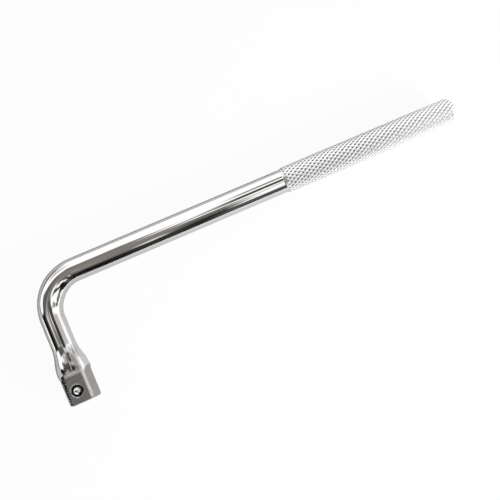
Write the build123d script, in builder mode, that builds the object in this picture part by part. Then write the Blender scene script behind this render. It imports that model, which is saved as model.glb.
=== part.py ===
# L-handle for half-inch drive sockets: a round bar bent to an L, with a knurled grip on the long
# arm and a drive square with a sprung detent ball on the short arm.
#
# The tool lies flat. The origin is the centre of the drive square's end face, +Y runs up the
# drive axis to the corner of the L, +X runs along the long arm to its tip, and +Z is up, out of
# the side from which the detent ball looks.
from build123d import *
import os
from math import acos, cos, degrees, dist, pi, radians, sin, sqrt

os.makedirs("parts", exist_ok=True)

# Bar
shank_diameter = 11.9
bend_radius = 18.4            # of the bar's centre line
bend_swell = 0.35             # the forged bend is this much wider on each side, in the L's plane
handle_reach = 226.0          # from the drive axis to the tip of the long arm
drive_drop = 60.5             # from the long arm's centre line to the drive end face

# Knurled grip
grip_diameter = 13.2          # over the knurl's crests
grip_length = 94.5            # from the foot of the knurl to the tip
grip_cone_length = 2.5        # the step from the shank up to the knurl
tip_dome_depth = 4.4          # the long arm's end is domed

# Drive end
drive_square = 12.7           # across flats, the half-inch standard
drive_corner_diameter = 16.3  # across the turned corners of the square
drive_turn = 8.0              # degrees that the square stands turned out of the L's plane
drive_flat_length = 12.4      # straight part of each flat
drive_runout_radius = 4.0     # the flats run out into the flare in this radius
drive_body_length = 15.0      # from the end face to the widest point of the flare
flare_length = 14.5           # from the round shank to the widest point of the flare
drive_end_radius = 1.3        # rounding of the turned corners at the end
drive_end_chamfer = 0.25      # where each flat meets the end face

# Detent
detent_from_end = 6.1         # from the drive end face to the ball's centre line
ball_diameter = 5.2
ball_clearance = 0.05         # round the ball in its bore
ball_seat_gap = 0.03          # between the ball and what it bears on
bore_depth = 9.3
stake_ring_diameter = 6.8     # outer edge of the ring struck round the hole
stake_ring_depth = 0.1
recess_diameter = 5.7
recess_depth = 0.3
lip_diameter = 4.7            # the struck lip holds the ball in
lip_thickness = 0.15
lip_undercut = 0.3            # depth over which the lip widens to the bore
ball_travel = 1.0             # how far the ball can be pressed in

# Detent spring
spring_coil_diameter = 3.9    # of the wire's centre line
spring_wire_diameter = 0.6
spring_turns = 4.5

# What the cuts run past the surfaces that they open
overrun = 2.0

# Sizes worked out from the ones above
shank_radius = shank_diameter / 2
grip_radius = grip_diameter / 2
flat_distance = drive_square / 2
corner_radius = drive_corner_diameter / 2
ball_radius = ball_diameter / 2
bore_radius = ball_radius + ball_clearance
lip_radius = lip_diameter / 2
coil_radius = spring_coil_diameter / 2
wire_radius = spring_wire_diameter / 2
grip_start = handle_reach - grip_length
dome_start = handle_reach - tip_dome_depth
bend_end = drive_drop - bend_radius
flare_top = drive_body_length + flare_length
flare_rise = corner_radius - shank_radius

# The ball rests on the underside of the lip, and its spring fills the bore behind it.
lip_bottom = recess_depth + lip_thickness
ball_depth = lip_bottom + sqrt(ball_radius ** 2 - lip_radius ** 2) + ball_seat_gap
spring_top = ball_depth + sqrt((ball_radius + wire_radius) ** 2 - coil_radius ** 2) + ball_seat_gap
spring_bottom = bore_depth - wire_radius - ball_seat_gap
spring_height = spring_bottom - spring_top
spring_pitch = spring_height / spring_turns

# Directions: the ball face looks up, turned a little away from the long arm.
ball_direction = Vector(-sin(radians(drive_turn)), 0, cos(radians(drive_turn)))
drive_direction = Vector(0, 1, 0)

# The corner of the L, where the two centre lines would cross
corner = Vector(0, drive_drop, 0)


def flat_plane(quarter):
    """The plane through the drive axis whose X looks out of one flat, with Y up the drive axis."""
    outward = ball_direction.rotate(Axis.Y, 90 * quarter)
    return Plane(origin=(0, 0, 0), x_dir=outward, z_dir=outward.cross(drive_direction))


# Handle bar: long arm, bend, short arm and drive square are one forging
with BuildPart() as handle_bar:
    # Long arm: the shank, the cone up to the grip, the grip and its domed end
    with BuildSketch(Plane(origin=corner, x_dir=(1, 0, 0), z_dir=(0, 0, 1))):
        with BuildLine():
            Polyline(
                (bend_radius, 0),
                (bend_radius, shank_radius),
                (grip_start - grip_cone_length, shank_radius),
                (grip_start, grip_radius),
                (dome_start, grip_radius),
            )
            EllipticalCenterArc(
                (dome_start, 0), tip_dome_depth, grip_radius, start_angle=0, arc_size=90
            )
            Line((handle_reach, 0), (bend_radius, 0))
        make_face()
    revolve(axis=Axis(corner, (1, 0, 0)))

    # Short arm: the shank, the flare and the turned corners of the drive end
    with BuildSketch(Plane.XY):
        with BuildLine():
            Polyline(
                (shank_radius, flare_top),
                (shank_radius, bend_end),
                (0, bend_end),
                (0, 0),
                (corner_radius - drive_end_radius, 0),
            )
            RadiusArc(
                (corner_radius - drive_end_radius, 0),
                (corner_radius, drive_end_radius),
                -drive_end_radius,
            )
            Line((corner_radius, drive_end_radius), (corner_radius, drive_body_length))
            flare_middle = (shank_radius + flare_rise / 2, drive_body_length + flare_length / 2)
            TangentArc((corner_radius, drive_body_length), flare_middle, tangent=(0, 1))
            TangentArc((shank_radius, flare_top), flare_middle, tangent=(0, -1))
        make_face()
    revolve(axis=Axis.Y)

    # Bend: round where it meets the arms, and a little wider in the L's plane between them
    with BuildLine() as bend_line:
        CenterArc((bend_radius, bend_end), bend_radius, 90, 90)
    bend_shares = (0, 0.25, 0.5, 0.75, 1)
    for share in bend_shares:
        swell = bend_swell * sin(pi * share) ** 2
        across = Plane(
            origin=bend_line.line @ share,
            x_dir=(0, 0, 1),
            z_dir=bend_line.line % share,
        )
        with BuildSketch(across):
            Ellipse(shank_radius, shank_radius + swell)
    sweep(path=bend_line.line, multisection=True)

    # Flats: four alike, each bevelled at the end face and ending in a round runout at the shank
    for quarter in range(4):
        with BuildSketch(flat_plane(quarter)):
            with BuildLine():
                Polyline(
                    (flat_distance - drive_end_chamfer - overrun, -overrun),
                    (flat_distance, drive_end_chamfer),
                    (flat_distance, drive_flat_length),
                )
                RadiusArc(
                    (flat_distance, drive_flat_length),
                    (flat_distance + drive_runout_radius, drive_flat_length + drive_runout_radius),
                    drive_runout_radius,
                )
                Polyline(
                    (flat_distance + drive_runout_radius, drive_flat_length + drive_runout_radius),
                    (corner_radius + drive_runout_radius, drive_flat_length + drive_runout_radius),
                    (corner_radius + drive_runout_radius, -overrun),
                    (flat_distance - drive_end_chamfer - overrun, -overrun),
                )
            make_face()
        extrude(amount=corner_radius + overrun, both=True, mode=Mode.SUBTRACT)

    # Detent bore: struck ring, recess, lip, undercut and the bore itself, on the ball's line
    detent_plane = flat_plane(0).move(Location(drive_direction * detent_from_end))
    with BuildSketch(detent_plane):
        with BuildLine():
            Polyline(
                (flat_distance + overrun, 0),
                (flat_distance + overrun, stake_ring_diameter / 2),
                (flat_distance, stake_ring_diameter / 2),
                (flat_distance - stake_ring_depth, recess_diameter / 2),
                (flat_distance - recess_depth, lip_radius),
                (flat_distance - lip_bottom, lip_radius),
                (flat_distance - lip_bottom - lip_undercut, bore_radius),
                (flat_distance - bore_depth, bore_radius),
                (flat_distance - bore_depth, 0),
                close=True,
            )
        make_face()
    revolve(axis=Axis(detent_plane.origin, ball_direction), mode=Mode.SUBTRACT)
handle_bar.part.label = "handle_bar"

# Detent ball, at rest against the lip
ball_centre = detent_plane.origin + ball_direction * (flat_distance - ball_depth)
with BuildPart() as detent_ball:
    with Locations(ball_centre):
        Sphere(ball_radius)
detent_ball.part.label = "detent_ball"

# Detent spring: one open coil from the floor of the bore to the back of the ball
spring_foot = detent_plane.origin + ball_direction * (flat_distance - spring_bottom)
with BuildPart() as detent_spring:
    with BuildLine() as coil_line:
        Helix(
            pitch=spring_pitch,
            height=spring_height,
            radius=coil_radius,
            center=spring_foot,
            direction=ball_direction,
        )
    with BuildSketch(Plane(origin=coil_line.line @ 0, z_dir=coil_line.line % 0)):
        Circle(wire_radius)
    sweep(path=coil_line.line)
detent_spring.part.label = "detent_spring"

for piece in (handle_bar, detent_ball, detent_spring):
    export_step(piece.part, f"parts/{piece.part.label}.step")

# The least gap between neighbouring turns of the spring, measured on points of its centre line
steps_per_turn = 48
steps = int(steps_per_turn * spring_turns)
points = []
for step in range(steps + 1):
    turn = 2 * pi * step / steps_per_turn
    rise = spring_pitch * step / steps_per_turn
    points.append((coil_radius * cos(turn), coil_radius * sin(turn), rise))
gaps = []
for first in range(steps + 1):
    for second in range(first + steps_per_turn // 2, steps + 1):
        gaps.append(dist(points[first], points[second]) - spring_wire_diameter)
print(f"detent_spring: least gap between turns {min(gaps):.2f} mm")
print(f"detent_ball: stands {ball_radius - ball_depth:.2f} mm proud, travel {ball_travel:.2f} mm")
print(f"drive corners: flats {2 * sqrt(corner_radius ** 2 - flat_distance ** 2):.2f} mm wide")
print(f"corner starts {degrees(acos(flat_distance / corner_radius)):.1f} degrees from each flat")
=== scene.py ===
"""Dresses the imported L-handle: a chromed bar bent to an L, with a diamond knurl on its grip and a
drive square that holds a sprung ball. Everything is in metres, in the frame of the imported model."""

from math import acos, atan, cos, pi, radians, remainder, sin, sqrt, tan

import bmesh
import bpy
from bpy.props import FloatProperty, FloatVectorProperty, IntProperty, PointerProperty
from mathutils import Matrix, Vector


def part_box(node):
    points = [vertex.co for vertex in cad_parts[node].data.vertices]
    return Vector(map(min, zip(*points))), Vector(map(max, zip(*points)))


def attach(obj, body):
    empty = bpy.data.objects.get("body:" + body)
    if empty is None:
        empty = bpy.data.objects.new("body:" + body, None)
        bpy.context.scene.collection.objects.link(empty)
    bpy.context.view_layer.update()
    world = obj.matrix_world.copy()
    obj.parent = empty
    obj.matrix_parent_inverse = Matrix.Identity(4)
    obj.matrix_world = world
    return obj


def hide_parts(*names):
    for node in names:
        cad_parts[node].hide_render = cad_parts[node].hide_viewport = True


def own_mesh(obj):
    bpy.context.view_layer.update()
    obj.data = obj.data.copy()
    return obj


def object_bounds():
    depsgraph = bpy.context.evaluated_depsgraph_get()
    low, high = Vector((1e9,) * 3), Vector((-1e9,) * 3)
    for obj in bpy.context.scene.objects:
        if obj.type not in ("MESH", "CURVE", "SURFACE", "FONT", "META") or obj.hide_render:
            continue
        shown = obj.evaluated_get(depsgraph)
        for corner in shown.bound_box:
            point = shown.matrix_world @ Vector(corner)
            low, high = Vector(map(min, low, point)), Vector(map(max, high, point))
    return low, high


bl_info = {
    "name": "L-Handle",
    "version": (1, 0, 0),
    "blender": (4, 5, 0),
    "location": "3D View > Sidebar > L-Handle",
    "description": "Makes the bar, the knurled grip, the drive square and the detent of an L-handle",
    "category": "Add Mesh",
}

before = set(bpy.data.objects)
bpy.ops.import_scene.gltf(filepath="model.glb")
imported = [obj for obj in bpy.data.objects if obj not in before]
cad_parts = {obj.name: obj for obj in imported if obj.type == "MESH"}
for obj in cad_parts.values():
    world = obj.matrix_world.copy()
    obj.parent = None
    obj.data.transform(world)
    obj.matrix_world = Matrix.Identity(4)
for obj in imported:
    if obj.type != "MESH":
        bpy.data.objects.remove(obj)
CAD_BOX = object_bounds()
BAR_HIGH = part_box("handle_bar")[1]
BALL_LOW, BALL_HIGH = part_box("detent_ball")
BALL_MIDDLE = (BALL_LOW + BALL_HIGH) / 2
BALL_RADIUS = (BALL_HIGH.z - BALL_LOW.z) / 2

MM = 0.001
PICTURE_SIZE = 500


def number(name, description, default, **more):
    """A property for one number."""
    return FloatProperty(name=name, description=description, default=default, **more)


def length(name, description, default):
    """A property for one length in metres."""
    return number(name, description, default, unit="LENGTH", precision=5, min=0)


def angle(name, description, degrees):
    """A property for one angle."""
    return number(name, description, radians(degrees), subtype="ANGLE")


def count(name, description, default, least):
    """A property for one whole number."""
    return IntProperty(name=name, description=description, default=default, min=least)


def shade(name, description, default):
    """A property for one colour."""
    return FloatVectorProperty(
        name=name, description=description, default=default, subtype="COLOR", size=3, min=0, max=1
    )


class BarSizes(bpy.types.PropertyGroup):
    """The bar's round stretches and its bend."""

    shank_diameter: length("Shank diameter", "Diameter of the plain bar", 11.9 * MM)
    bend_radius: length("Bend radius", "Radius of the bar's centre line in the bend", 18.4 * MM)
    bend_swell: length("Bend swell", "How much wider the forged bend is on each side", 0.35 * MM)
    reach: length("Reach", "From the drive axis to the tip of the long arm", BAR_HIGH.x)
    arm_width: length("Arm width", "From the long arm's centre line to its outer side", 6.6 * MM)

    @property
    def drop(self):
        """From the drive's end face to the long arm's centre line."""
        return BAR_HIGH.y - self.arm_width


class GripSizes(bpy.types.PropertyGroup):
    """The knurled grip."""

    diameter: length("Grip diameter", "Diameter over the crests of the knurl", 13.2 * MM)
    knurl_length: length("Knurl length", "From the knurl's full height to the tip", 94.5 * MM)
    cone_length: length("Cone length", "The step from the shank up to the knurl", 1.8 * MM)
    dome_depth: length("Dome depth", "How far the tip bulges", 4.4 * MM)
    groove_depth: length("Groove depth", "Depth of the knurl's grooves", 0.14 * MM)
    crest_share: number("Crest share", "Flat part of each diamond", 0.42, min=0, max=0.9)
    starts: count("Starts", "Grooves of each hand", 21, 3)
    half_pitches: count("Half pitches", "Half diamonds along the grip", 52, 2)


class DriveSizes(bpy.types.PropertyGroup):
    """The drive square and the flare above it."""

    across_flats: length("Across flats", "Width of the drive square", 12.7 * MM)
    across_corners: length("Across corners", "Diameter of the turned corners", 16.3 * MM)
    turn: angle("Turn", "Turn of the square out of the L's plane", 8)
    flat_length: length("Flat length", "Straight part of each flat", 12.4 * MM)
    runout_radius: length("Runout radius", "Where the flats run out into the flare", 4.0 * MM)
    body_length: length("Body length", "From the end face to the flare", 15.0 * MM)
    flare_length: length("Flare length", "From the widest point to the round shank", 14.5 * MM)
    end_radius: length("End radius", "Rounding of the corners at the end", 1.3 * MM)
    end_bevel: length("End bevel", "Bevel of the flats at the end face", 0.25 * MM)
    edge_softness: length("Edge softness", "Rounding between a flat and a corner", 0.14 * MM)


class DetentSizes(bpy.types.PropertyGroup):
    """The hole that holds the ball."""

    ring_diameter: length("Ring diameter", "Outer edge of the struck ring", 6.8 * MM)
    ring_depth: length("Ring depth", "How far the ring is struck in", 0.1 * MM)
    recess_diameter: length("Recess diameter", "Outer edge of the recess", 5.7 * MM)
    lip_diameter: length("Lip diameter", "The lip that holds the ball", 4.7 * MM)
    lip_depth: length("Lip depth", "From the flat to the lip's edge", 0.3 * MM)
    lip_thickness: length("Lip thickness", "Straight part of the lip", 0.15 * MM)
    undercut: length("Undercut", "Depth over which the lip widens to the bore", 0.3 * MM)
    bore_diameter: length("Bore diameter", "Bore behind the ball", 5.3 * MM)
    bore_depth: length("Bore depth", "From the flat to the bore's floor", 9.3 * MM)


class SpringSizes(bpy.types.PropertyGroup):
    """The spring behind the ball."""

    coil_diameter: length("Coil diameter", "Of the wire's centre line", 3.9 * MM)
    wire_diameter: length("Wire diameter", "Diameter of the spring wire", 0.6 * MM)
    turns: number("Turns", "Turns of the coil", 4.5, min=1)
    foot_depth: length("Foot depth", "From the flat to the foot of the centre line", 8.97 * MM)
    height: length("Height", "From end to end of the centre line", 5.201 * MM)
    travel: length("Travel", "How far the ball presses the spring together", 1.0 * MM)


class Finishes(bpy.types.PropertyGroup):
    """Colours of the finishes."""

    plate: shade("Plate", "Polished chrome plate", (0.70, 0.695, 0.69))
    satin: shade("Satin", "Milled flats under the plate", (0.40, 0.40, 0.40))
    # Brighter than the bar's plate as painted light, for the light the knurl catches
    knurl: shade("Knurl", "Bright plate on the knurl", (0.90, 0.90, 0.91))
    # Painted shade: dark in the knurl's grooves, and the painted dark streaks down the short arm
    painted_shade: shade("Film", "Grey film in the knurl's grooves and on the bar", (0.04, 0.04, 0.042))
    # Painted dark reflection on one side of the flare
    flare_reflection_grey: shade("Dull plate", "Dull grey plate on the flare", (0.17, 0.16, 0.152))
    bare: shade("Bare steel", "Steel where the plate has worn", (0.30, 0.27, 0.245))
    # Black of the chips, and painted shade in the recess and on the ball below its lip
    chips_and_painted_shade: shade("Soot", "Dark film left in the recess", (0.018, 0.017, 0.016))
    bearing: shade("Ball", "Polished ball", (0.78, 0.78, 0.79))
    spring: shade("Spring", "Drawn spring wire", (0.45, 0.45, 0.46))


class StageSizes(bpy.types.PropertyGroup):
    """The floor, the light and the camera."""

    floor_size: length("Floor size", "Width of the square floor", 8.0)
    floor_gap: length("Floor gap", "Gap between the tool and the floor", 0.02 * MM)
    floor_colour: shade("Floor", "Pale floor", (0.43, 0.428, 0.43))
    floor_fleck: shade("Floor fleck", "Faint fleck in the floor", (0.40, 0.398, 0.40))
    sky_level: number("Light", "Level of the soft light", 1.5)
    lamp_power: number("Lamp", "Power of the soft box", 16.0, unit="POWER")
    lamp_size: length("Lamp size", "Width of the square soft box", 0.22)
    lamp_place: FloatVectorProperty(
        name="Lamp place", description="Middle of the soft box", default=(0.55, -0.42, 0.27),
        subtype="TRANSLATION", unit="LENGTH", size=3,
    )
    camera_distance: length("Camera distance", "From the corner of the L", 330 * MM)
    camera_tilt: angle("Tilt", "Tilt of the tool", -4.21)
    camera_swing: angle("Swing", "Swing of the tool", 4.72)
    camera_roll: angle("Roll", "Roll of the tool", 23.68)
    pixels_per_metre: number("Scale", "Picture pixels per metre at the corner", 2062.3)
    corner_pixel: FloatVectorProperty(
        name="Corner", description="Pixel of the L's corner", default=(38.7, 284.6), size=2
    )


class LHandle(bpy.types.PropertyGroup):
    """All sizes and colours of the tool."""

    bar: PointerProperty(type=BarSizes)
    grip: PointerProperty(type=GripSizes)
    drive: PointerProperty(type=DriveSizes)
    detent: PointerProperty(type=DetentSizes)
    spring: PointerProperty(type=SpringSizes)
    finish: PointerProperty(type=Finishes)
    stage: PointerProperty(type=StageSizes)


class Wire:
    """A node's output, with arithmetic that adds Math nodes."""

    def __init__(self, nodes, socket):
        self.nodes, self.socket = nodes, socket

    def math(self, operation, *others):
        """A Math node with this wire first."""
        inputs = dict(enumerate((self, *others)))
        return self.nodes.add("ShaderNodeMath", {"operation": operation}, inputs)

    def __add__(self, other):
        return self.math("ADD", other)

    def __sub__(self, other):
        return self.math("SUBTRACT", other)

    def __mul__(self, other):
        return self.math("MULTIPLY", other)

    def __truediv__(self, other):
        return self.math("DIVIDE", other)

    def __rsub__(self, other):
        return self.nodes.add("ShaderNodeMath", {"operation": "SUBTRACT"}, {0: other, 1: self})

    __radd__ = __add__
    __rmul__ = __mul__

    def least(self, other):
        """The smaller of the two."""
        return self.math("MINIMUM", other)

    def most(self, other):
        """The larger of the two."""
        return self.math("MAXIMUM", other)

    def step_up(self, low, high):
        """0 below low, 1 above high, and smooth between them."""
        return self.nodes.add(
            "ShaderNodeMapRange", {"interpolation_type": "SMOOTHSTEP"},
            {"Value": self, "From Min": low, "From Max": high},
        )

    def between(self, low, full, fading, high):
        """0 below low and above high, 1 from full to fading, and smooth in between."""
        return self.step_up(low, full) * (1.0 - self.step_up(fading, high))

    def output(self, name):
        """Another output of the same node."""
        return Wire(self.nodes, self.socket.node.outputs[name])


class Nodes:
    """Adds nodes to one node tree."""

    def __init__(self, tree):
        self.tree = tree

    def add(self, kind, settings=None, inputs=None, output=0):
        """Adds a node with its settings and its sockets' values or links, and returns an output."""
        node = self.tree.nodes.new(kind)
        for name, value in (settings or {}).items():
            setattr(node, name, value)
        for name, value in (inputs or {}).items():
            self.feed(node.inputs[name], value)
        return Wire(self, node.outputs[output]) if node.outputs else node

    def feed(self, socket, value):
        """Links a wire to a socket, or sets the socket's own value."""
        if isinstance(value, Wire):
            self.tree.links.new(value.socket, socket)
        else:
            socket.default_value = value

    def parts(self, vector):
        """The X, Y and Z of a vector."""
        split = self.add("ShaderNodeSeparateXYZ", inputs={0: vector})
        return split, split.output("Y"), split.output("Z")

    def mix_colour(self, share, first, second):
        """The first colour where share is 0 and the second where it is 1."""
        return self.add(
            "ShaderNodeMix", {"data_type": "RGBA"},
            {0: share, 6: colour_of(first), 7: colour_of(second)}, output=2,
        )

    def noise(self, vector, scale, detail=2.0, roughness=0.5):
        """Soft noise from 0 to 1."""
        return self.add(
            "ShaderNodeTexNoise", {"noise_dimensions": "3D"},
            {"Vector": vector, "Scale": scale, "Detail": detail, "Roughness": roughness},
        )

    def stretched_noise(self, vector, scales, detail, roughness=0.5):
        """Soft noise with a scale of its own along each axis."""
        scaled = self.add(
            "ShaderNodeMapping", {"vector_type": "POINT"}, {"Vector": vector, "Scale": scales}
        )
        return self.noise(scaled, 1.0, detail, roughness)

    def drawn_noise(self, vector, along, across, detail, roughness=0.5):
        """Soft noise with one scale along the bar, which is the vector's X, and one across it."""
        return self.stretched_noise(vector, (along, across, across), detail, roughness)


def colour_of(value):
    """A socket's colour from a wire or from three numbers."""
    return value if isinstance(value, Wire) else (*value, 1.0)


def emptied(owner):
    """The nodes of a material or a world, with none in them yet."""
    owner.use_nodes = True
    owner.node_tree.nodes.clear()
    return Nodes(owner.node_tree)


def new_material(name):
    """An empty material's nodes, and a function that gives it its shader and returns it."""
    material = bpy.data.materials.new(name)
    nodes = emptied(material)

    def done(colour, roughness, metallic=1.0, bump=None):
        """Bump is a height, its strength and the distance that a height of 1 stands for."""
        inputs = {"Base Color": colour, "Metallic": metallic, "Roughness": roughness}
        if bump:
            height, strength, distance = bump
            inputs["Normal"] = nodes.add(
                "ShaderNodeBump", {}, {"Height": height, "Strength": strength, "Distance": distance}
            )
        surface = nodes.add("ShaderNodeBsdfPrincipled", {}, inputs)
        nodes.add("ShaderNodeOutputMaterial", {}, {"Surface": surface})
        return material

    return nodes, done


# Attributes that the bar's mesh carries for its material
STRAIGHT = "straight_place"
SATIN = "milled"
# Share of painted shade in the ball's recess
RECESS = "recess"
EDGE = "edge_wear"
# Where the plate is chipped along one edge, blackened partly as painted shade
CHIPPED = "chipped"

# Attribute that the knurl's mesh carries: the share of painted shade in its grooves, most where two
# grooves cross
GROOVE_SHADE = "groove"

# Sides of the short arm with a painted dark reflection and with painted dark streaks, as X from the
# drive
# axis towards the grip: where the marks begin, are full, begin to fade and have ended
PAINTED_REFLECTION_SIDE = (-2.5 * MM, 0.5 * MM, 4.0 * MM, 6.0 * MM)
LINE_SIDE = (-2.0 * MM, 0.0, 3.5 * MM, 5.0 * MM)

# Heights between which the short arm's coarser finish gives way to the smooth bar
SHORT_ARM_FADE = (34 * MM, 50 * MM)

# Distance between the notches in the chipped edge of the square
NOTCH_PITCH = 1.3 * MM

# Roughness of the polished plate, and what each finish or mark adds to it
POLISHED, HAZY, SCRATCHED, ON_PAINTED_REFLECTION, WORN = 0.045, 0.05, 0.05, 0.05, 0.20
MILLED, GRAINY, RECESS_ROUGH, TURNED_CONE = 0.25, 0.10, 0.35, 0.30

# Heights of the marks in the plate, in shares of the bump's distance
SCRATCH_HEIGHT, GRAIN_HEIGHT, CHIP_DEPTH = 0.012, 0.05, 0.5
RIPPLE_HEIGHT, DRAWN_HEIGHT, DRAWN_ON_SHORT_ARM = 2.4, 0.06, 0.55
PLATE_BUMP = 0.06 * MM
FINE_BUMP = 0.01 * MM

# Distances from the ball's middle, along the way it looks, between which the painted shade below the
# lip ends
PAINTED_SHADE_END = (2.10 * MM, 2.46 * MM)


def attribute(nodes, name, output="Fac"):
    """What the mesh carries under this name."""
    return nodes.add("ShaderNodeAttribute", {"attribute_name": name}, output=output)


def plate_material():
    """Polished chrome plate that turns satin on the milled flats, with painted shade darkening the
    ball's recess.
    """
    settings = bpy.context.scene.l_handle
    finish, drive = settings.finish, settings.drive
    nodes, done = new_material("chrome_plate")
    place = attribute(nodes, STRAIGHT, "Vector")
    milled, recess, edge, chipped = (
        attribute(nodes, name) for name in (SATIN, RECESS, EDGE, CHIPPED)
    )
    plated = 1.0 - milled
    object_x, height_up, _ = nodes.parts(nodes.add("ShaderNodeTexCoord", output="Object"))
    flare_low = drive.body_length
    flare_high = flare_low + drive.flare_length
    flare_fade = 3 * MM
    at_flare = height_up.between(
        flare_low - flare_fade, flare_low, flare_low + flare_fade, flare_high
    )
    on_short_arm = 1.0 - height_up.step_up(*SHORT_ARM_FADE)
    foot = cone_foot(settings)
    on_cone = object_x.step_up(foot, foot + 0.4 * settings.grip.cone_length)

    # Long polishing waves, fine scratches, a patchy haze, and ripples from forging and drawing
    waves = nodes.drawn_noise(place, 28, 150, 1.5)
    scratches = nodes.drawn_noise(place, 180, 5200, 3.0)
    grain = nodes.drawn_noise(place, 9000, 2600, 3.0, 0.6)
    ripples = nodes.drawn_noise(place, 100, 620, 2.5, 0.6)
    drawn = nodes.drawn_noise(place, 18, 850, 2.0)
    haze = nodes.noise(place, 260.0, 4.0, 0.62)
    mottle = nodes.noise(place, 1100.0, 3.0, 0.6)
    patches = milled * (haze * 0.5 + mottle * 0.5).step_up(0.40, 0.60) * 0.6

    # Painted dark reflection on one side of the flare, and painted dark streaks down the short arm
    streaks = nodes.drawn_noise(place, 120, 1500, 3.0, 0.65).step_up(0.40, 0.60)
    painted_flare_reflection = (at_flare * 1.8).least(1.0) * object_x.between(*PAINTED_REFLECTION_SIDE)
    painted_flare_reflection = painted_flare_reflection * (0.65 + streaks * 0.35) * plated
    # Painted dark streaks, standing in for the short arm's streaky reflections
    lines = nodes.drawn_noise(place, 22, 1500, 2.0, 0.6).step_up(0.50, 0.60)
    lines = lines * object_x.between(*LINE_SIDE) * on_short_arm * plated * 0.6

    # Chips and notches in the plate along one edge of the square, blackened partly as painted shade,
    # and worn edges all round
    chips = nodes.drawn_noise(place, 1500, 900, 4.0, 0.7)
    notches = (height_up / NOTCH_PITCH + chips * 1.2).math("PINGPONG", 0.5).step_up(0.16, 0.26)
    notches = notches * chipped.step_up(0.45, 0.75)
    chip = (chipped * 0.55 + chips * 1.8 - 1.28).step_up(0.0, 0.10) * chipped.step_up(0.0, 0.2)
    chip = chip.most(notches)
    worn = (edge * chips.step_up(0.46, 0.60) * 0.7).least(1.0)

    colour = nodes.mix_colour(milled, finish.plate, finish.satin)
    # Bare patches and wear, a painted reflection, painted streaks, and painted shade on the chips and
    # the recess
    marks = (
        (patches, finish.bare), (painted_flare_reflection, finish.flare_reflection_grey), (lines, finish.painted_shade), (worn, finish.bare),
        (chip.most(recess), finish.chips_and_painted_shade),
    )
    for share, mark in marks:
        colour = nodes.mix_colour(share, colour, mark)
    rough = POLISHED + haze.step_up(0.45, 0.75) * HAZY + scratches.step_up(0.5, 0.8) * SCRATCHED
    rough = rough + on_cone * TURNED_CONE + painted_flare_reflection * ON_PAINTED_REFLECTION + milled * (MILLED + grain * GRAINY)
    rough = rough + recess * RECESS_ROUGH + (worn + chip) * WORN
    height = waves + ripples * at_flare * RIPPLE_HEIGHT
    height = (height + drawn * (DRAWN_HEIGHT + on_short_arm * DRAWN_ON_SHORT_ARM)) * plated
    height = height + scratches * SCRATCH_HEIGHT + grain * milled * GRAIN_HEIGHT
    return done(colour, rough, bump=(height - chip * CHIP_DEPTH, 1.0, PLATE_BUMP))


def knurl_material():
    """A brighter copy of the plate over the knurl as painted light, with painted shade in the grooves
    that fades towards the tip.
    """
    settings = bpy.context.scene.l_handle
    finish, grip = settings.finish, settings.grip
    nodes, done = new_material("chrome_knurl")
    place = nodes.add("ShaderNodeTexCoord", output="Object")
    haze = nodes.noise(place, 300.0, 4.0, 0.6)
    grit = nodes.noise(place, 4200.0, 3.0, 0.6)
    groove = attribute(nodes, GROOVE_SHADE)
    along, aside, _ = nodes.parts(place)
    tip = BAR_HIGH.x
    towards_tip = along.step_up(tip - grip.knurl_length, tip)
    # Less painted shade towards the tip, and less again on the inner side, where more light falls
    tip_fade = along.step_up(tip - grip.knurl_length * 0.7, tip) * 0.25
    inner_side = (settings.bar.drop - aside) / (grip.diameter / 2)
    inner_side_fade = (inner_side + towards_tip * 0.5).step_up(0.35, 0.85) * (0.15 + towards_tip * 0.35)
    painted_shade = groove * (1.0 - tip_fade) * (1.0 - inner_side_fade)
    colour = nodes.mix_colour(painted_shade, finish.knurl, finish.painted_shade)
    rough = 0.38 + haze * 0.10 + groove * 0.10
    return done(colour, rough, metallic=0.88, bump=(grit, 0.35, FINE_BUMP))


def ball_material():
    """Polished ball with fine rub marks, and painted shade below the lip of its seat."""
    settings = bpy.context.scene.l_handle
    finish, looks = settings.finish, ball_direction(settings)
    nodes, done = new_material("ball_steel")
    place = nodes.add("ShaderNodeTexCoord", output="Object")
    rub = nodes.stretched_noise(place, (2200, 9000, 2200), 3.0, 0.6)
    outward = nodes.add(
        "ShaderNodeVectorMath", {"operation": "DOT_PRODUCT"}, {0: place, 1: looks}, output="Value"
    )
    above = outward - BALL_MIDDLE.dot(looks) + rub * 0.3 * MM
    painted_shade = 1.0 - above.step_up(*PAINTED_SHADE_END)
    colour = nodes.mix_colour(rub.step_up(0.5, 0.85) * 0.3, finish.bearing, finish.satin)
    colour = nodes.mix_colour(painted_shade * 0.92, colour, finish.chips_and_painted_shade)
    return done(colour, 0.05 + rub * 0.06 + painted_shade * 0.1)


def spring_material():
    """Drawn wire with fine lines."""
    finish = bpy.context.scene.l_handle.finish
    nodes, done = new_material("spring_steel")
    place = nodes.add("ShaderNodeTexCoord", output="Object")
    drawn = nodes.stretched_noise(place, (1500, 1500, 9000), 4.0, 0.6)
    colour = nodes.mix_colour(drawn.step_up(0.4, 0.7), finish.spring, finish.bare)
    return done(colour, 0.26 + drawn * 0.2, bump=(drawn, 0.4, FINE_BUMP))


def ball_direction(settings):
    """The way the ball looks, out of its flat."""
    return Vector((-sin(settings.drive.turn), 0, cos(settings.drive.turn)))


def new_object(name, data):
    """A new object in the scene with this mesh, light or camera."""
    made = bpy.data.objects.new(name, data)
    bpy.context.scene.collection.objects.link(made)
    return made


def finished_object(name, mesh):
    """A new object at the origin with this mesh, smooth and with its normals outwards."""
    work = bmesh.new()
    work.from_mesh(mesh)
    bmesh.ops.remove_doubles(work, verts=work.verts, dist=1e-7)
    bmesh.ops.recalc_face_normals(work, faces=work.faces)
    for face in work.faces:
        face.smooth = True
    work.to_mesh(mesh)
    work.free()
    return new_object(name, mesh)


def held(share):
    """The share, but never below 0 or above 1."""
    return min(1.0, max(0.0, share))


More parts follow.
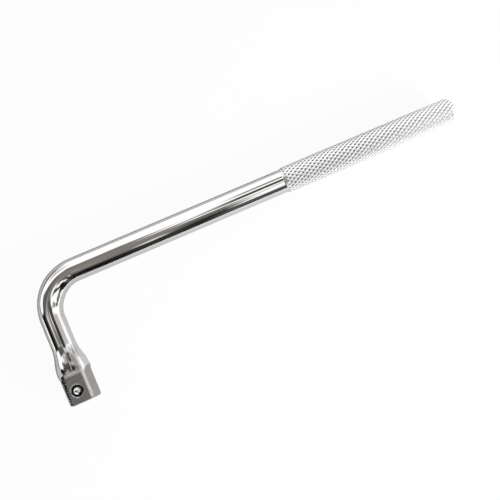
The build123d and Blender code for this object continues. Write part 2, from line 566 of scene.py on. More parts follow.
def soft_least(first, second, softness):
    """The smaller of two lengths, rounded where they cross."""
    share = held(0.5 + 0.5 * (second - first) / softness)
    return second * (1 - share) + first * share - softness * share * (1 - share)


def spaced(start, stop, steps):
    """Evenly spaced values from start, and stop left out."""
    return [start + (stop - start) * step / steps for step in range(steps)]


class BarShape:
    """Where the bar's surface is, ring by ring, from the tip side round the bend to the drive end.

    A ring is cut square to the bar. Its angles are counted from the outer side of the bend towards
    +Z, so that the ball's flat lies at a quarter turn less the square's turn.
    """

    # Columns across a flat, and round a corner
    flat_columns = 21
    middle = flat_columns // 2
    corner_columns = 15

    # Half the width of the soft edge between them in edge softnesses, and in shares of it the
    # places of the columns over the edge and of the nearest ones beside it
    edge_width = 1.1
    edge_shares = (-1.0, -0.34, 0.34, 1.0)
    support_share = 1.5

    # How far the chips reach from their edge, the share of that behind it, and the share of it that
    # is left at the end face
    chip_reach = 3.2 * MM
    reach_behind = 0.6
    reach_at_end = 0.35

    # How far an edge is worn on each side, in edge softnesses, and how satin the turned corners
    # become over some distance below the top of the runouts
    wear_on_flat, wear_on_corner = 3, 6
    corner_satin = 0.6
    satin_fade = 3 * MM

    def __init__(self, settings):
        self.bar, self.drive = settings.bar, settings.drive
        self.shank = self.bar.shank_diameter / 2
        self.corner = self.drive.across_corners / 2
        self.flat = self.drive.across_flats / 2
        self.drop = self.bar.drop
        self.bend = self.bar.bend_radius
        self.flare_top = self.drive.body_length + self.drive.flare_length
        self.first_flat = pi / 2 - self.drive.turn
        self.quarter = self.flat_columns + 2 * len(self.edge_shares) + self.corner_columns
        self.runout_top = self.find_runout_top()

    def round_radius(self, y):
        """Radius of the turned shape at height y above the end face."""
        drive = self.drive
        rise, half = self.corner - self.shank, drive.flare_length / 2
        arc = (half ** 2 + (rise / 2) ** 2) / rise
        if y < drive.end_radius:
            across = drive.end_radius ** 2 - (drive.end_radius - y) ** 2
            return self.corner - drive.end_radius + sqrt(max(0.0, across))
        if y <= drive.body_length:
            return self.corner
        if y <= drive.body_length + half:
            return self.corner - arc + sqrt(arc ** 2 - (y - drive.body_length) ** 2)
        if y <= self.flare_top:
            return self.shank + arc - sqrt(arc ** 2 - (self.flare_top - y) ** 2)
        return self.shank

    def flat_distance(self, y):
        """From the drive axis to a flat's plane or runout at height y."""
        drive = self.drive
        bevelled = soft_least(self.flat - drive.end_bevel + y, self.flat, drive.end_bevel / 3)
        into = max(0.0, min(y - drive.flat_length, drive.runout_radius))
        return bevelled + drive.runout_radius - sqrt(drive.runout_radius ** 2 - into ** 2)

    def find_runout_top(self):
        """The height at which the runouts leave the turned shape, found by halving."""
        low, high = self.drive.flat_length, self.drive.flat_length + self.drive.runout_radius
        halvings = 50
        for _ in range(halvings):
            between = (low + high) / 2
            if self.flat_distance(between) < self.round_radius(between):
                low = between
            else:
                high = between
        return low

    def column_width(self):
        """Width of a column on the straight part of a flat."""
        support = self.support_share * self.edge_width * self.drive.edge_softness / self.corner
        return self.flat * tan(acos(self.flat / self.corner) - support) / self.middle

    def even_angle(self, column):
        """A column's angle from the middle of the first flat, where all are evenly spaced."""
        return (column - self.middle) * pi / 2 / self.quarter

    def angles(self, y):
        """The quarter's column angles from the middle of a flat, at height y."""
        cut = self.flat_distance(y) / self.round_radius(y)
        half = acos(cut) if cut < 1 and y < self.runout_top else 0.0
        soft = min(self.drive.edge_softness / self.corner * self.edge_width, 0.3 * half)
        support = self.support_share * soft
        inner = tan(half - support) / self.middle
        across = [atan(inner * (column - self.middle)) for column in range(self.flat_columns)]
        first_edge = [half + share * soft for share in self.edge_shares]
        last_edge = [pi / 2 - angle for angle in reversed(first_edge)]
        start, stop = half + support, pi / 2 - half - support
        corner = spaced(start, stop, self.corner_columns - 1) + [stop]
        gathered = across + first_edge + corner + last_edge
        even = [self.even_angle(column) for column in range(self.quarter)]
        blend = held((y - self.runout_top) / (self.flare_top - self.runout_top))
        return [a * (1 - blend) + b * blend for a, b in zip(gathered, even)]

    def short_ring(self, y):
        """The points of one ring on the short arm, each with its marks."""
        full, cut = self.round_radius(y), self.flat_distance(y)
        softness, at_end = self.drive.edge_softness, self.reach_at_end
        chip_edge = self.first_flat - acos(min(1.0, cut / full))
        chip_reach = self.chip_reach * (at_end + (1 - at_end) * y / self.runout_top)
        satin = self.corner_satin * held((self.runout_top - y) / self.satin_fade)
        ring = []
        for quarter in range(4):
            for angle in self.angles(y):
                turned = self.first_flat + quarter * pi / 2 + angle
                radius = full
                on_flat = edge = chipped = 0.0
                if y < self.runout_top:
                    plane = cut / cos(min(abs(angle), pi / 2 - angle))
                    radius = soft_least(full, plane, softness)
                    on_flat = held(0.5 + 0.5 * (full - plane) / softness)
                    wear = self.wear_on_flat if plane < full else self.wear_on_corner
                    edge = max(0.0, 1.0 - abs(full - plane) / (wear * softness))
                    past_edge = radius * remainder(turned - chip_edge, 2 * pi)
                    reach = chip_reach if past_edge > 0 else -self.reach_behind * chip_reach
                    chipped = max(0.0, 1.0 - past_edge / reach)
                point = Vector((-radius * cos(turned), y, radius * sin(turned)))
                ring.append((point, {SATIN: max(on_flat, satin), EDGE: edge, CHIPPED: chipped}))
        return ring

    def round_ring(self, centre, outward, swell, grown):
        """Points of a round ring, wider by swell along outward and by grown all round."""
        up = Vector((0, 0, 1))
        points = []
        for column in range(4 * self.quarter):
            angle = self.first_flat + self.even_angle(column)
            wide = outward * (self.shank + grown + swell) * cos(angle)
            points.append(centre + wide + up * (self.shank + grown) * sin(angle))
        return points


class MeshRings:
    """Collects rings of points with their marks, and the faces between one ring and the next."""

    def __init__(self):
        self.points, self.faces, self.straight = [], [], []
        self.marks = {SATIN: [], EDGE: [], RECESS: [], CHIPPED: []}

    def add_point(self, point, straight, marks=None):
        """Adds a point with its place on the straightened bar, and returns its number."""
        self.points.append(point)
        self.straight.append(straight)
        for name, values in self.marks.items():
            values.append(marks.get(name, 0.0) if marks else 0.0)
        return len(self.points) - 1

    def join(self, first, second, open_columns=()):
        """Faces between two closed rings of point numbers, with none in the open columns."""
        columns = len(first)
        for here in range(columns):
            if here not in open_columns:
                after = (here + 1) % columns
                self.faces.append((first[here], first[after], second[after], second[here]))

    def mesh(self, name):
        """The mesh with its attributes."""
        mesh = bpy.data.meshes.new(name)
        mesh.from_pydata(self.points, [], self.faces)
        vectors = mesh.attributes.new(STRAIGHT, "FLOAT_VECTOR", "POINT")
        vectors.data.foreach_set("vector", [part for place in self.straight for part in place])
        for mark, values in self.marks.items():
            mesh.attributes.new(mark, "FLOAT", "POINT").data.foreach_set("value", values)
        return mesh


# How the cone climbs with distance: 1 is straight, and 2 starts flat and ends steep
CONE_CURVE = 1.25

# Rings down the cone, over the last stretch in front of it, along the long arm, round the bend and
# down the short arm
CONE_STEPS, LEAD_STEPS, LONG_STEPS, BEND_STEPS, SHORT_STEPS = 12, 3, 14, 56, 8
CONE_LEAD = 1.0 * MM

# Rings down the flare, over the runouts, on the flats and beside the window for the ball
FLARE_STEPS, RUNOUT_STEPS, FLAT_STEPS, WINDOW_ROWS = 30, 18, 3, 16

# Heights of the last rings in millimetres, close together over the bevels
END_HEIGHTS = (1.7, 1.3, 1.0, 0.75, 0.55, 0.4, 0.33, 0.29, 0.25, 0.21, 0.17, 0.11, 0.05, 0.02, 0.0)

# Rings on the end face, each in shares of the one before it: a thin border keeps the edge crisp
END_FACE_SHARES = (0.985, 0.5)


def cone_foot(settings):
    """Where the bar's cone starts to climb from the shank."""
    return settings.bar.reach - settings.grip.knurl_length - settings.grip.cone_length


def cone_rise(settings):
    """How far the bar's cone climbs, to just under the bottom of the knurl's grooves."""
    grip = settings.grip
    tucked_under = 0.01 * MM
    return grip.diameter / 2 - settings.bar.shank_diameter / 2 - grip.groove_depth - tucked_under


def round_stations(shape, settings):
    """Centre, outward direction, swell and growth of each round ring.

    They run from inside the grip down the cone, along the long arm, round the bend and down the
    short arm as far as the flare.
    """
    foot, cone_length = cone_foot(settings), settings.grip.cone_length
    hidden_end = 0.3 * MM
    lead = foot - CONE_LEAD
    places = [foot + cone_length + hidden_end] + spaced(foot + cone_length, foot, CONE_STEPS)
    places += spaced(foot, lead, LEAD_STEPS) + spaced(lead, shape.bend, LONG_STEPS)
    stations = []
    for x in places:
        grown = cone_rise(settings) * held((x - foot) / cone_length) ** CONE_CURVE
        stations.append((Vector((x, shape.drop, 0)), Vector((0, 1, 0)), 0.0, grown))
    turn_centre = Vector((shape.bend, shape.drop - shape.bend, 0))
    for turned in spaced(0, pi / 2, BEND_STEPS):
        outward = Vector((-sin(turned), cos(turned), 0))
        swell = settings.bar.bend_swell * sin(2 * turned) ** 2
        stations.append((turn_centre + outward * shape.bend, outward, swell, 0.0))
    for y in spaced(shape.drop - shape.bend, shape.flare_top, SHORT_STEPS):
        stations.append((Vector((0, y, 0)), Vector((-1, 0, 0)), 0.0, 0.0))
    return stations


def drive_heights(shape):
    """Heights of the rings from the flare to the end face, and the number of the window's first."""
    flat_length, top = shape.drive.flat_length, shape.runout_top
    below_runout = 0.3 * MM
    window_half = shape.column_width() * WINDOW_ROWS / 2
    window_high, window_low = BALL_MIDDLE.y + window_half, BALL_MIDDLE.y - window_half
    heights = spaced(shape.flare_top, top, FLARE_STEPS)
    heights += [top - (top - flat_length) * share ** 2 for share in spaced(0, 1, RUNOUT_STEPS)]
    heights += [flat_length] + spaced(flat_length - below_runout, window_high, FLAT_STEPS)
    window_start = len(heights)
    heights += spaced(window_high, window_low, WINDOW_ROWS) + [window_low]
    return heights + [height * MM for height in END_HEIGHTS], window_start


def hole_profile(detent):
    """Radius, depth and share of painted shade of the rings from the struck ring down to the bore's
    floor.
    """
    ring, recess = detent.ring_diameter / 2, detent.recess_diameter / 2
    lip, bore = detent.lip_diameter / 2, detent.bore_diameter / 2
    lip_bottom = detent.lip_depth + detent.lip_thickness
    soft = 0.06 * MM
    return (
        (ring + 3 * soft, 0.0, 0.0),
        (ring + soft, 0.0, 0.0),
        (ring - soft, 0.2 * soft, 0.0),
        (recess + 2 * soft, detent.ring_depth - soft, 0.3),
        (recess + soft, detent.ring_depth - 0.2 * soft, 0.9),
        (recess, detent.ring_depth + 0.2 * soft, 0.9),
        (recess - 0.5 * soft, detent.ring_depth + soft, 1.0),
        (lip + soft, detent.lip_depth - 0.5 * soft, 1.0),
        (lip, detent.lip_depth + 0.3 * soft, 1.0),
        (lip, lip_bottom, 1.0),
        (bore, lip_bottom + detent.undercut, 1.0),
        (bore, detent.bore_depth, 1.0),
        (bore / 4, detent.bore_depth, 1.0),
    )


def make_bar(settings):
    """The plain long arm, the bend, the short arm and the drive end as one closed mesh."""
    shape, rings = BarShape(settings), MeshRings()

    # Round rings, whose places on the straightened bar start at the hidden end
    round_rings = []
    run = 0.0
    stations = round_stations(shape, settings)
    before = stations[0][0]
    for centre, outward, swell, grown in stations:
        run += (centre - before).length
        before = centre
        ring = []
        for point in shape.round_ring(centre, outward, swell, grown):
            out = point - centre
            ring.append(rings.add_point(point, (run, out.dot(outward), out.z)))
        round_rings.append(ring)
    run_to_end = run + before.y

    def straightened(point):
        """The place on the straightened bar of a point on the short arm."""
        return run_to_end - point.y, -point.x, point.z

    # Rings down the flare, the runouts, the flats and the rounded end
    heights, window_start = drive_heights(shape)
    drive_rings = []
    for y in heights:
        ring = []
        for point, marks in shape.short_ring(y):
            ring.append(rings.add_point(point, straightened(point), marks))
        drive_rings.append(ring)

    # Faces, with a square window left open in the ball's flat
    window_stop = window_start + WINDOW_ROWS
    left, right = shape.middle - WINDOW_ROWS // 2, shape.middle + WINDOW_ROWS // 2
    every_ring = round_rings + drive_rings
    for row, (first, second) in enumerate(zip(every_ring, every_ring[1:])):
        beside_window = window_start <= row - len(round_rings) < window_stop
        rings.join(first, second, range(left, right) if beside_window else ())

    # The two ends
    before = drive_rings[-1]
    for share in END_FACE_SHARES:
        ring = []
        for number in before:
            point = rings.points[number] * share
            ring.append(rings.add_point(point, rings.straight[number], {SATIN: 1.0}))
        rings.join(before, ring)
        before = ring
    rings.faces.append(tuple(before))
    rings.faces.append(tuple(reversed(round_rings[0])))

    # The hole for the ball: the window's border is led to a circle, and the circle down the bore
    before = [drive_rings[row][left] for row in range(window_start, window_stop)]
    before += [drive_rings[window_stop][column] for column in range(left, right)]
    before += [drive_rings[row][right] for row in range(window_stop, window_start, -1)]
    before += [drive_rings[window_start][column] for column in range(right, left, -1)]
    columns, first_corner = len(before), radians(135)
    outward, up = ball_direction(settings), Vector((0, 1, 0))
    aside = up.cross(outward)
    centre = outward * shape.flat + up * BALL_MIDDLE.y
    # Each ring carries its share of painted shade for the recess
    for radius, depth, painted_shade in hole_profile(settings.detent):
        satin = 1.0 if radius > settings.detent.ring_diameter / 2 else 0.0
        ring = []
        for step in range(columns):
            angle = first_corner + 2 * pi * step / columns
            point = centre + (aside * cos(angle) + up * sin(angle)) * radius - outward * depth
            ring.append(rings.add_point(point, straightened(point), {SATIN: satin, RECESS: painted_shade}))
        rings.join(before, ring)
        before = ring
    rings.faces.append(tuple(before))

    piece = finished_object("bar_forging", rings.mesh("bar_forging"))
    piece.data.materials.append(plate_material())
    return piece


def geometry_tree(name, decimals, whole):
    """An empty Geometry Nodes tree with named inputs, its nodes, and what each input gives."""
    tree = bpy.data.node_groups.new(name, "GeometryNodeTree")
    tree.interface.new_socket("Geometry", in_out="INPUT", socket_type="NodeSocketGeometry")
    tree.interface.new_socket("Geometry", in_out="OUTPUT", socket_type="NodeSocketGeometry")
    for names, kind in ((decimals, "NodeSocketFloat"), (whole, "NodeSocketInt")):
        for each in names:
            tree.interface.new_socket(each, in_out="INPUT", socket_type=kind)
    nodes = Nodes(tree)
    given = nodes.add("NodeGroupInput")
    return tree, nodes, {each: given.output(each) for each in (*decimals, *whole)}


def finish_tree(nodes, shape, material):
    """Realizes the shape's instances, sets its material and leads it to the tree's output."""
    real = nodes.add("GeometryNodeRealizeInstances", {}, {"Geometry": shape})
    dressed = nodes.add("GeometryNodeSetMaterial", {}, {"Geometry": real, "Material": material})
    nodes.add("NodeGroupOutput", {}, {"Geometry": dressed})


def knurl_tree(material):
    """Geometry Nodes for the grip: a rolled sheet whose height follows two families of grooves."""
    tree, nodes, value = geometry_tree(
        "diamond_knurl",
        (
            "Foot", "Centre Height", "Start Radius", "Crest Radius", "Climb Length",
            "Straight Length", "Dome Depth", "Groove Depth", "Crest Share", "Starts",
            "Half Pitches",
        ),
        ("Straight Rows", "Dome Rows", "Columns"),
    )

    # Two hidden rows close the foot, then come the straight rows and the dome's rows
    rows = value["Straight Rows"] + value["Dome Rows"] + 3
    grid = nodes.add(
        "GeometryNodeMeshGrid", {},
        {"Size X": 1.0, "Size Y": 1.0, "Vertices X": rows, "Vertices Y": value["Columns"] + 1},
    )
    spread, around, _ = nodes.parts(grid.output("UV Map"))
    row = (spread * (rows - 1)).math("ROUND")
    straight_row = (row - 2).most(0.0).least(value["Straight Rows"])
    dome_row = (row - 2 - value["Straight Rows"]).most(0.0)
    dome_angle = dome_row / value["Dome Rows"] * (pi / 2)
    straight = straight_row / value["Straight Rows"] * value["Straight Length"]
    along = straight + dome_angle.math("SINE") * value["Dome Depth"]

    # The smooth outline that the knurl is cut into: a short climb, the straight grip and the dome
    climb = (along / value["Climb Length"]).step_up(0.0, 1.0)
    rise = value["Crest Radius"] - value["Start Radius"]
    outline = (value["Start Radius"] + rise * climb) * dome_angle.math("COSINE")

    # Distance to the nearest groove of each hand, in groove pitches
    count_round = around * value["Starts"]
    pitch_count = along * value["Half Pitches"] / (value["Straight Length"] * 2)
    right_hand = (count_round + pitch_count).math("PINGPONG", 0.5)
    left_hand = (count_round - pitch_count).math("PINGPONG", 0.5)
    climb_share = right_hand.least(left_hand) * 2 / (1 - value["Crest Share"])
    cut = (1 - climb_share.least(1.0)) * value["Groove Depth"]
    surface = outline.least(value["Crest Radius"] - cut)

    # The foot's hidden rows make a disc, a little smaller than the first visible row and beyond it
    hidden = 0.02 * MM
    first = row.math("LESS_THAN", 0.5)
    second = row.math("LESS_THAN", 1.5)
    radius = (surface - second * hidden) * (1 - first)
    angle = around * (2 * pi)
    place = nodes.add(
        "ShaderNodeCombineXYZ", {},
        {
            "X": value["Foot"] + along - second * (5 * hidden),
            "Y": value["Centre Height"] + radius * angle.math("SINE"),
            "Z": radius * angle.math("COSINE"),
        },
    )
    rolled = nodes.add("GeometryNodeSetPosition", {}, {"Geometry": grid, "Position": place})

    # Painted shade lies in the grooves of one hand, near the foot mostly where the others cross them
    in_groove = 1 - left_hand.step_up(0.13, 0.31)
    in_other = 1 - right_hand.step_up(0.18, 0.40)
    between = 0.12 + along / value["Straight Length"] * 0.45
    marked = nodes.add(
        "GeometryNodeStoreNamedAttribute", {"data_type": "FLOAT", "domain": "POINT"},
        {
            "Geometry": rolled, "Name": GROOVE_SHADE,
            "Value": in_groove * (between + in_other * (1 - between)),
        },
    )
    closed = nodes.add("GeometryNodeMergeByDistance", {}, {"Geometry": marked, "Distance": 1e-6})
    triangles = nodes.add(
        "GeometryNodeTriangulate", {"quad_method": "SHORTEST_DIAGONAL"}, {"Mesh": closed}
    )
    finish_tree(nodes, triangles, material)
    return tree


def evaluated_piece(name, tree, values):
    """Runs a Geometry Nodes tree once and returns its plain mesh as an object."""
    carrier = new_object(name + "_carrier", bpy.data.meshes.new(name + "_carrier"))
    modifier = carrier.modifiers.new("nodes", "NODES")
    modifier.node_group = tree
    for item in tree.interface.items_tree:
        if item.in_out == "INPUT" and item.name in values:
            modifier[item.identifier] = values[item.name]
    graph = bpy.context.evaluated_depsgraph_get()
    mesh = bpy.data.meshes.new_from_object(carrier.evaluated_get(graph), depsgraph=graph)
    mesh.name = name
    carrier.modifiers.clear()
    bpy.data.objects.remove(carrier)
    if not mesh.polygons:
        raise RuntimeError(f"{name} came out of its nodes with no faces")
    return finished_object(name, mesh)


def make_grip(settings):
    """The knurled grip, from just outside the upper part of the bar's cone to the domed tip."""
    grip, bar = settings.grip, settings.bar
    start_share = 0.2
    outside = 0.02 * MM
    steps_per_groove = 12
    climb_length = grip.cone_length * start_share
    start_rise = cone_rise(settings) * (1 - start_share) ** CONE_CURVE
    values = {
        "Foot": bar.reach - grip.knurl_length - climb_length,
        "Centre Height": bar.drop,
        "Start Radius": bar.shank_diameter / 2 + start_rise + outside,
        "Crest Radius": grip.diameter / 2,
        "Climb Length": climb_length,
        "Straight Length": grip.knurl_length + climb_length - grip.dome_depth,
        "Dome Depth": grip.dome_depth,
        "Groove Depth": grip.groove_depth,
        "Crest Share": grip.crest_share,
        "Starts": float(grip.starts),
        "Half Pitches": float(grip.half_pitches),
        "Straight Rows": grip.half_pitches * steps_per_groove // 2,
        "Dome Rows": 16,
        "Columns": grip.starts * steps_per_groove,
    }
    return evaluated_piece("knurled_grip", knurl_tree(knurl_material()), values)


def make_ball():
    """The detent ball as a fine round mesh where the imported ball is."""
    work = bmesh.new()
    bmesh.ops.create_icosphere(work, subdivisions=5, radius=BALL_RADIUS)
    bmesh.ops.translate(work, verts=work.verts, vec=BALL_MIDDLE)
    mesh = bpy.data.meshes.new("ball")
    work.to_mesh(mesh)
    work.free()
    piece = finished_object("ball", mesh)
    piece.data.materials.append(ball_material())
    return piece


def spring_tree(material):
    """Geometry Nodes for the spring: a round wire swept along a helix about +Z."""
    tree, nodes, value = geometry_tree(
        "coil_spring",
        ("Coil Radius", "Wire Radius", "Turns", "Height"),
        ("Points per Turn", "Points Round Wire"),
    )
    helix = nodes.add(
        "GeometryNodeCurveSpiral", {},
        {
            "Resolution": value["Points per Turn"], "Rotations": value["Turns"],
            "Start Radius": value["Coil Radius"], "End Radius": value["Coil Radius"],
            "Height": value["Height"], "Reverse": True,
        },
    )
    section = nodes.add(
        "GeometryNodeCurvePrimitiveCircle", {"mode": "RADIUS"},
        {"Resolution": value["Points Round Wire"], "Radius": value["Wire Radius"]},
    )
    wire = nodes.add(
        "GeometryNodeCurveToMesh", {},
        {"Curve": helix, "Profile Curve": section, "Fill Caps": True},
    )
    finish_tree(nodes, wire, material)
    return tree


def spring_foot(settings):
    """The fixed end of the spring's centre line, near the floor of the bore."""
    up_the_bore = settings.drive.across_flats / 2 - settings.spring.foot_depth
    return Vector((0, BALL_MIDDLE.y, 0)) + ball_direction(settings) * up_the_bore


def make_spring(settings):
    """The spring in its bore, from the bore's floor to the back of the ball."""
    spring = settings.spring
    values = {
        "Coil Radius": spring.coil_diameter / 2,
        "Wire Radius": spring.wire_diameter / 2,
        "Turns": spring.turns,
        "Height": spring.height,
        "Points per Turn": 48,
        "Points Round Wire": 20,
    }
    piece = evaluated_piece("coil_spring", spring_tree(spring_material()), values)
    tilted = Matrix.Rotation(-settings.drive.turn, 4, "Y")
    piece.data.transform(Matrix.Translation(spring_foot(settings)) @ tilted)
    return piece


# The studio that the plate reflects: dark and grey cards on a white surround. A card's place is
# given on a flat map of the sky, with the zenith in its middle and the horizon at distance 1. Each
# has its middle, its half width and half height, its turn in degrees, the width over which its
# border fades, and its colour. Later cards hang in front of earlier ones.
CARDS = {
    "grey_low_left": ((-0.58, 0.76), (0.34, 0.17), 35, 0.16, (0.50, 0.49, 0.48)),
    "gap_low_left": ((-0.57, 0.72), (0.23, 0.10), 35, 0.06, (0.03, 0.03, 0.03)),
    "pale_far_left": ((-0.90, 0.34), (0.09, 0.20), 20, 0.10, (0.45, 0.44, 0.43)),
    "pale_high_left": ((-0.27, 0.50), (0.13, 0.10), -20, 0.12, (0.78, 0.77, 0.76)),
    "arm_high_left": ((-0.25, 0.155), (0.235, 0.09), -14, 0.05, (0.16, 0.152, 0.142)),
    "pale_middle": ((-0.19, 0.045), (0.085, 0.035), 0, 0.04, (0.74, 0.72, 0.70)),
    "pale_right": ((0.44, 0.045), (0.20, 0.05), 0, 0.06, (0.72, 0.70, 0.69)),
    "room_left": ((-0.34, -0.12), (0.24, 0.145), 0, 0.05, (0.13, 0.13, 0.13)),
    "dark_left": ((-0.60, 0.0), (0.225, 0.155), -6, 0.05, (0.012, 0.012, 0.012)),
    "camera_side": ((-0.13, -0.19), (0.135, 0.22), 0, 0.03, (0.37, 0.348, 0.32)),
    "camera_side_top": ((-0.08, 0.105), (0.045, 0.14), 0, 0.04, (0.27, 0.255, 0.235)),
    "camera_side_dark": ((-0.04, -0.17), (0.03, 0.10), 12, 0.04, (0.27, 0.25, 0.23)),
    "camera_side_low": ((-0.10, -0.37), (0.14, 0.07), 0, 0.10, (0.17, 0.158, 0.145)),
    "lens": ((0.022, -0.24), (0.028, 0.13), 0, 0.03, (0.19, 0.183, 0.175)),
    "beside_line": ((0.03, -0.38), (0.03, 0.09), 0, 0.03, (0.12, 0.115, 0.11)),
    "line_right": ((0.155, -0.215), (0.12, 0.032), -62, 0.03, (0.08, 0.077, 0.073)),
    "room_below": ((0.17, -0.73), (0.32, 0.31), 0, 0.04, (0.012, 0.012, 0.012)),
    "wedge_below": ((0.165, -0.43), (0.075, 0.11), -15, 0.03, (0.010, 0.010, 0.010)),
    "gap_below": ((0.085, -0.45), (0.03, 0.05), 0, 0.03, (1.3, 1.3, 1.3)),
    "streak_below": ((-0.025, -0.36), (0.012, 0.07), 0, 0.015, (0.9, 0.89, 0.87)),
    "room_below_grey": ((0.115, -0.78), (0.075, 0.27), 0, 0.05, (0.11, 0.11, 0.108)),
    "room_below_soft": ((-0.02, -0.73), (0.04, 0.28), 0, 0.05, (0.045, 0.045, 0.044)),
    "room_right": ((0.58, -0.50), (0.18, 0.12), 0, 0.14, (0.26, 0.255, 0.25)),
    "grey_right": ((0.62, -0.36), (0.15, 0.07), 25, 0.08, (0.16, 0.155, 0.15)),
    "dark_right": ((0.135, 0.04), (0.11, 0.092), 0, 0.05, (0.085, 0.083, 0.08)),
    "line_low_right": ((0.062, -0.20), (0.02, 0.03), 0, 0.03, (0.42, 0.41, 0.40)),
    "dark_left_end": ((-0.37, 0.05), (0.06, 0.06), 0, 0.03, (0.13, 0.127, 0.122)),
    "dark_middle": ((0.035, 0.0), (0.075, 0.024), -18, 0.03, (0.10, 0.097, 0.093)),
    "bend_inside": ((0.39, -0.155), (0.14, 0.045), -23, 0.03, (0.45, 0.44, 0.43)),
    "bend_inside_dark": ((0.61, -0.265), (0.08, 0.05), -23, 0.04, (0.18, 0.175, 0.17)),
    "edge_left": ((-0.823, 0.475), (0.05, 0.22), -30, 0.04, (0.36, 0.36, 0.365)),
    "grey_high": ((0.125, 0.30), (0.08, 0.065), 0, 0.035, (0.24, 0.235, 0.23)),
}


WHITE = (1.0, 1.0, 1.0)

# What the flat map adds to the height: a little over 1, so that it never divides by 0
MAP_RAISE = 1.001

# How much of the floor glows white where the camera sees it, and where the tool mirrors it
GLOW_SEEN, GLOW_MIRRORED = 0.95, 0.05


def studio_world(settings):
    """A white studio with its cards, plain white where the camera sees past the tool."""
    world = bpy.data.worlds.new("studio")
    nodes = emptied(world)
    towards_x, towards_y, height = nodes.parts(nodes.add("ShaderNodeTexCoord", output="Generated"))
    map_x = towards_x / (height + MAP_RAISE)
    map_y = towards_y / (height + MAP_RAISE)
    colour = (settings.stage.sky_level,) * 3
    for (middle_x, middle_y), (half_width, half_height), turn, border, card in CARDS.values():
        along, aside = cos(radians(turn)), sin(radians(turn))
        from_x, from_y = map_x - middle_x, map_y - middle_y
        inside_x = half_width - (from_x * along + from_y * aside).math("ABSOLUTE")
        inside_y = half_height - (from_y * along - from_x * aside).math("ABSOLUTE")
        fade = border / 2
        cover = inside_x.step_up(-fade, fade) * inside_y.step_up(-fade, fade)
        colour = nodes.mix_colour(cover, colour, card)
    seen = nodes.add("ShaderNodeLightPath", output="Is Camera Ray")
    colour = nodes.mix_colour(seen, colour, WHITE)
    surround = nodes.add("ShaderNodeBackground", {}, {"Color": colour, "Strength": 1.0})
    nodes.add("ShaderNodeOutputWorld", {}, {"Surface": surround})
    return world


def floor_material(stage):
    """Pale floor that reads as white past the tool and keeps the tool's shadow."""
    material = bpy.data.materials.new("pale_floor")
    nodes = emptied(material)
    place = nodes.add("ShaderNodeTexCoord", output="Object")
    paper = nodes.noise(place, 900.0, 2.0)
    colour = nodes.mix_colour(paper * 0.04, stage.floor_colour, stage.floor_fleck)
    matt = nodes.add("ShaderNodeBsdfDiffuse", {}, {"Color": colour})
    glow = nodes.add("ShaderNodeEmission", {}, {"Color": colour_of(WHITE), "Strength": 1.0})
    path = nodes.add("ShaderNodeLightPath", output="Is Camera Ray")
    mirrored = path.output("Is Glossy Ray").most(path.output("Is Transmission Ray"))
    share = path * GLOW_SEEN + mirrored * GLOW_MIRRORED
    both = nodes.add("ShaderNodeMixShader", {}, {0: share, 1: matt, 2: glow})
    nodes.add("ShaderNodeOutputMaterial", {}, {"Surface": both})
    return material


def make_floor(stage):
    """The floor, just under the tool."""
    half = stage.floor_size / 2
    level = CAD_BOX[0][2] - stage.floor_gap
    sides = ((-half, -half), (half, -half), (half, half), (-half, half))
    corners = [(x, y, level) for x, y in sides]
    mesh = bpy.data.meshes.new("floor")
    mesh.from_pydata(corners, [], [(0, 1, 2, 3)])
    floor = new_object("floor", mesh)
    mesh.materials.append(floor_material(stage))


def make_lamp(settings):
    """The soft box that stands beyond the tip and faces the grip."""
    stage, bar = settings.stage, settings.bar
    lamp_data = bpy.data.lights.new("soft_box", "AREA")
    lamp_data.energy = stage.lamp_power
    lamp_data.size = stage.lamp_size
    lamp = new_object("soft_box", lamp_data)
    aim = Vector((bar.reach / 2, bar.drop, 0))
    place = Vector(stage.lamp_place)
    turned = (place - aim).to_track_quat("Z", "Y").to_matrix().to_4x4()
    lamp.matrix_world = Matrix.Translation(place) @ turned
    lamp.visible_glossy = False


def make_camera(settings):
    """The camera at the picture's angle, set by where the corner of the L is in the picture."""
    stage = settings.stage
    turned = (
        Matrix.Rotation(stage.camera_roll, 4, "Z")
        @ Matrix.Rotation(stage.camera_tilt, 4, "X")
        @ Matrix.Rotation(stage.camera_swing, 4, "Y")
    )
    half_picture = PICTURE_SIZE / 2
    offset = Vector((
        (half_picture - stage.corner_pixel[0]) / stage.pixels_per_metre,
        (stage.corner_pixel[1] - half_picture) / stage.pixels_per_metre,
        stage.camera_distance,
    ))
    corner = Vector((0, settings.bar.drop, 0))
    camera_data = bpy.data.cameras.new("camera")
    camera_data.sensor_fit = "HORIZONTAL"
    focal_pixels = stage.pixels_per_metre * stage.camera_distance
    camera_data.lens = camera_data.sensor_width * focal_pixels / PICTURE_SIZE
    camera_data.clip_start = 10 * MM
    camera = new_object("camera", camera_data)
    upright = turned.inverted()
    camera.matrix_world = Matrix.Translation(corner + upright @ offset) @ upright
    bpy.context.scene.camera = camera


def make_stage(settings):
    """The studio light, the floor under the tool and the camera."""
    make_lamp(settings)
    bpy.context.scene.world = studio_world(settings)
    make_floor(settings.stage)
    make_camera(settings)
    bpy.context.scene.view_settings.view_transform = "Standard"


class MakeBar(bpy.types.Operator):
    """Make the chromed bar with its bend and drive square"""

    bl_idname = "l_handle.make_bar"
    bl_label = "Make Bar"

    def execute(self, context):
        piece = make_bar(context.scene.l_handle)
        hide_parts("handle_bar")
        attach(piece, "bar")
        return {"FINISHED"}


class MakeGrip(bpy.types.Operator):
    """Make the knurled grip with its domed tip"""

    bl_idname = "l_handle.make_grip"
    bl_label = "Make Grip"

    def execute(self, context):
        piece = make_grip(context.scene.l_handle)
        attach(piece, "bar")
        return {"FINISHED"}


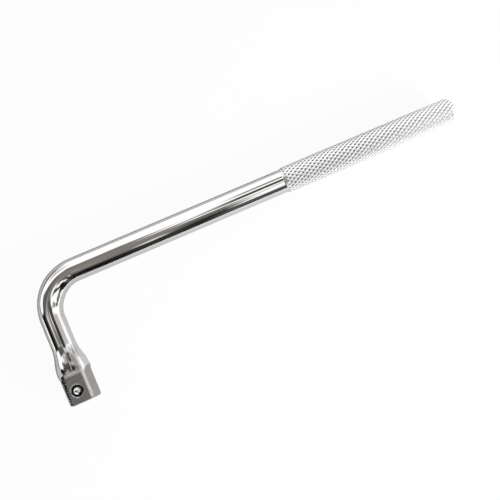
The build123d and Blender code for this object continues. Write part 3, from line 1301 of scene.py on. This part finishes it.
class MakeDetent(bpy.types.Operator):
    """Make the detent ball and the spring behind it"""

    bl_idname = "l_handle.make_detent"
    bl_label = "Make Detent"

    def execute(self, context):
        ball = make_ball()
        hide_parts("detent_ball")
        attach(ball, "ball")
        settings = context.scene.l_handle
        spring = make_spring(settings)
        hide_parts("detent_spring")
        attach(spring, "bar")
        ball_direction(settings)
        spring_foot(settings)
        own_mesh(spring)
        return {"FINISHED"}


class MakeStage(bpy.types.Operator):
    """Make the floor, the soft light and the camera"""

    bl_idname = "l_handle.make_stage"
    bl_label = "Make Stage"

    def execute(self, context):
        make_stage(context.scene.l_handle)
        return {"FINISHED"}


OPERATORS = (MakeBar, MakeGrip, MakeDetent, MakeStage)
GROUPS = ("bar", "grip", "drive", "detent", "spring", "finish", "stage")


class LHandlePanel(bpy.types.Panel):
    """Lists the operators and the sizes they use"""

    bl_idname = "VIEW3D_PT_l_handle"
    bl_label = "L-Handle"
    bl_space_type = "VIEW_3D"
    bl_region_type = "UI"
    bl_category = "L-Handle"

    def draw(self, context):
        """Shows the operators, and a box for each group of sizes."""
        for operator in OPERATORS:
            self.layout.operator(operator.bl_idname)
        settings = context.scene.l_handle
        for group_name in GROUPS:
            box = self.layout.box()
            box.label(text=group_name.capitalize())
            group = getattr(settings, group_name)
            for name in group.__annotations__:
                box.prop(group, name)


CLASSES = (
    BarSizes, GripSizes, DriveSizes, DetentSizes, SpringSizes, Finishes, StageSizes, LHandle,
    *OPERATORS, LHandlePanel,
)


def register():
    """Adds the classes and the scene's settings."""
    for each in CLASSES:
        bpy.utils.register_class(each)
    bpy.types.Scene.l_handle = PointerProperty(type=LHandle)


def unregister():
    """Takes them away again."""
    del bpy.types.Scene.l_handle
    for each in reversed(CLASSES):
        bpy.utils.unregister_class(each)


def main():
    """Makes the tool and its stage."""
    register()
    bpy.ops.l_handle.make_bar()
    bpy.ops.l_handle.make_grip()
    bpy.ops.l_handle.make_detent()
    bpy.ops.l_handle.make_stage()


if __name__ == "__main__":
    main()
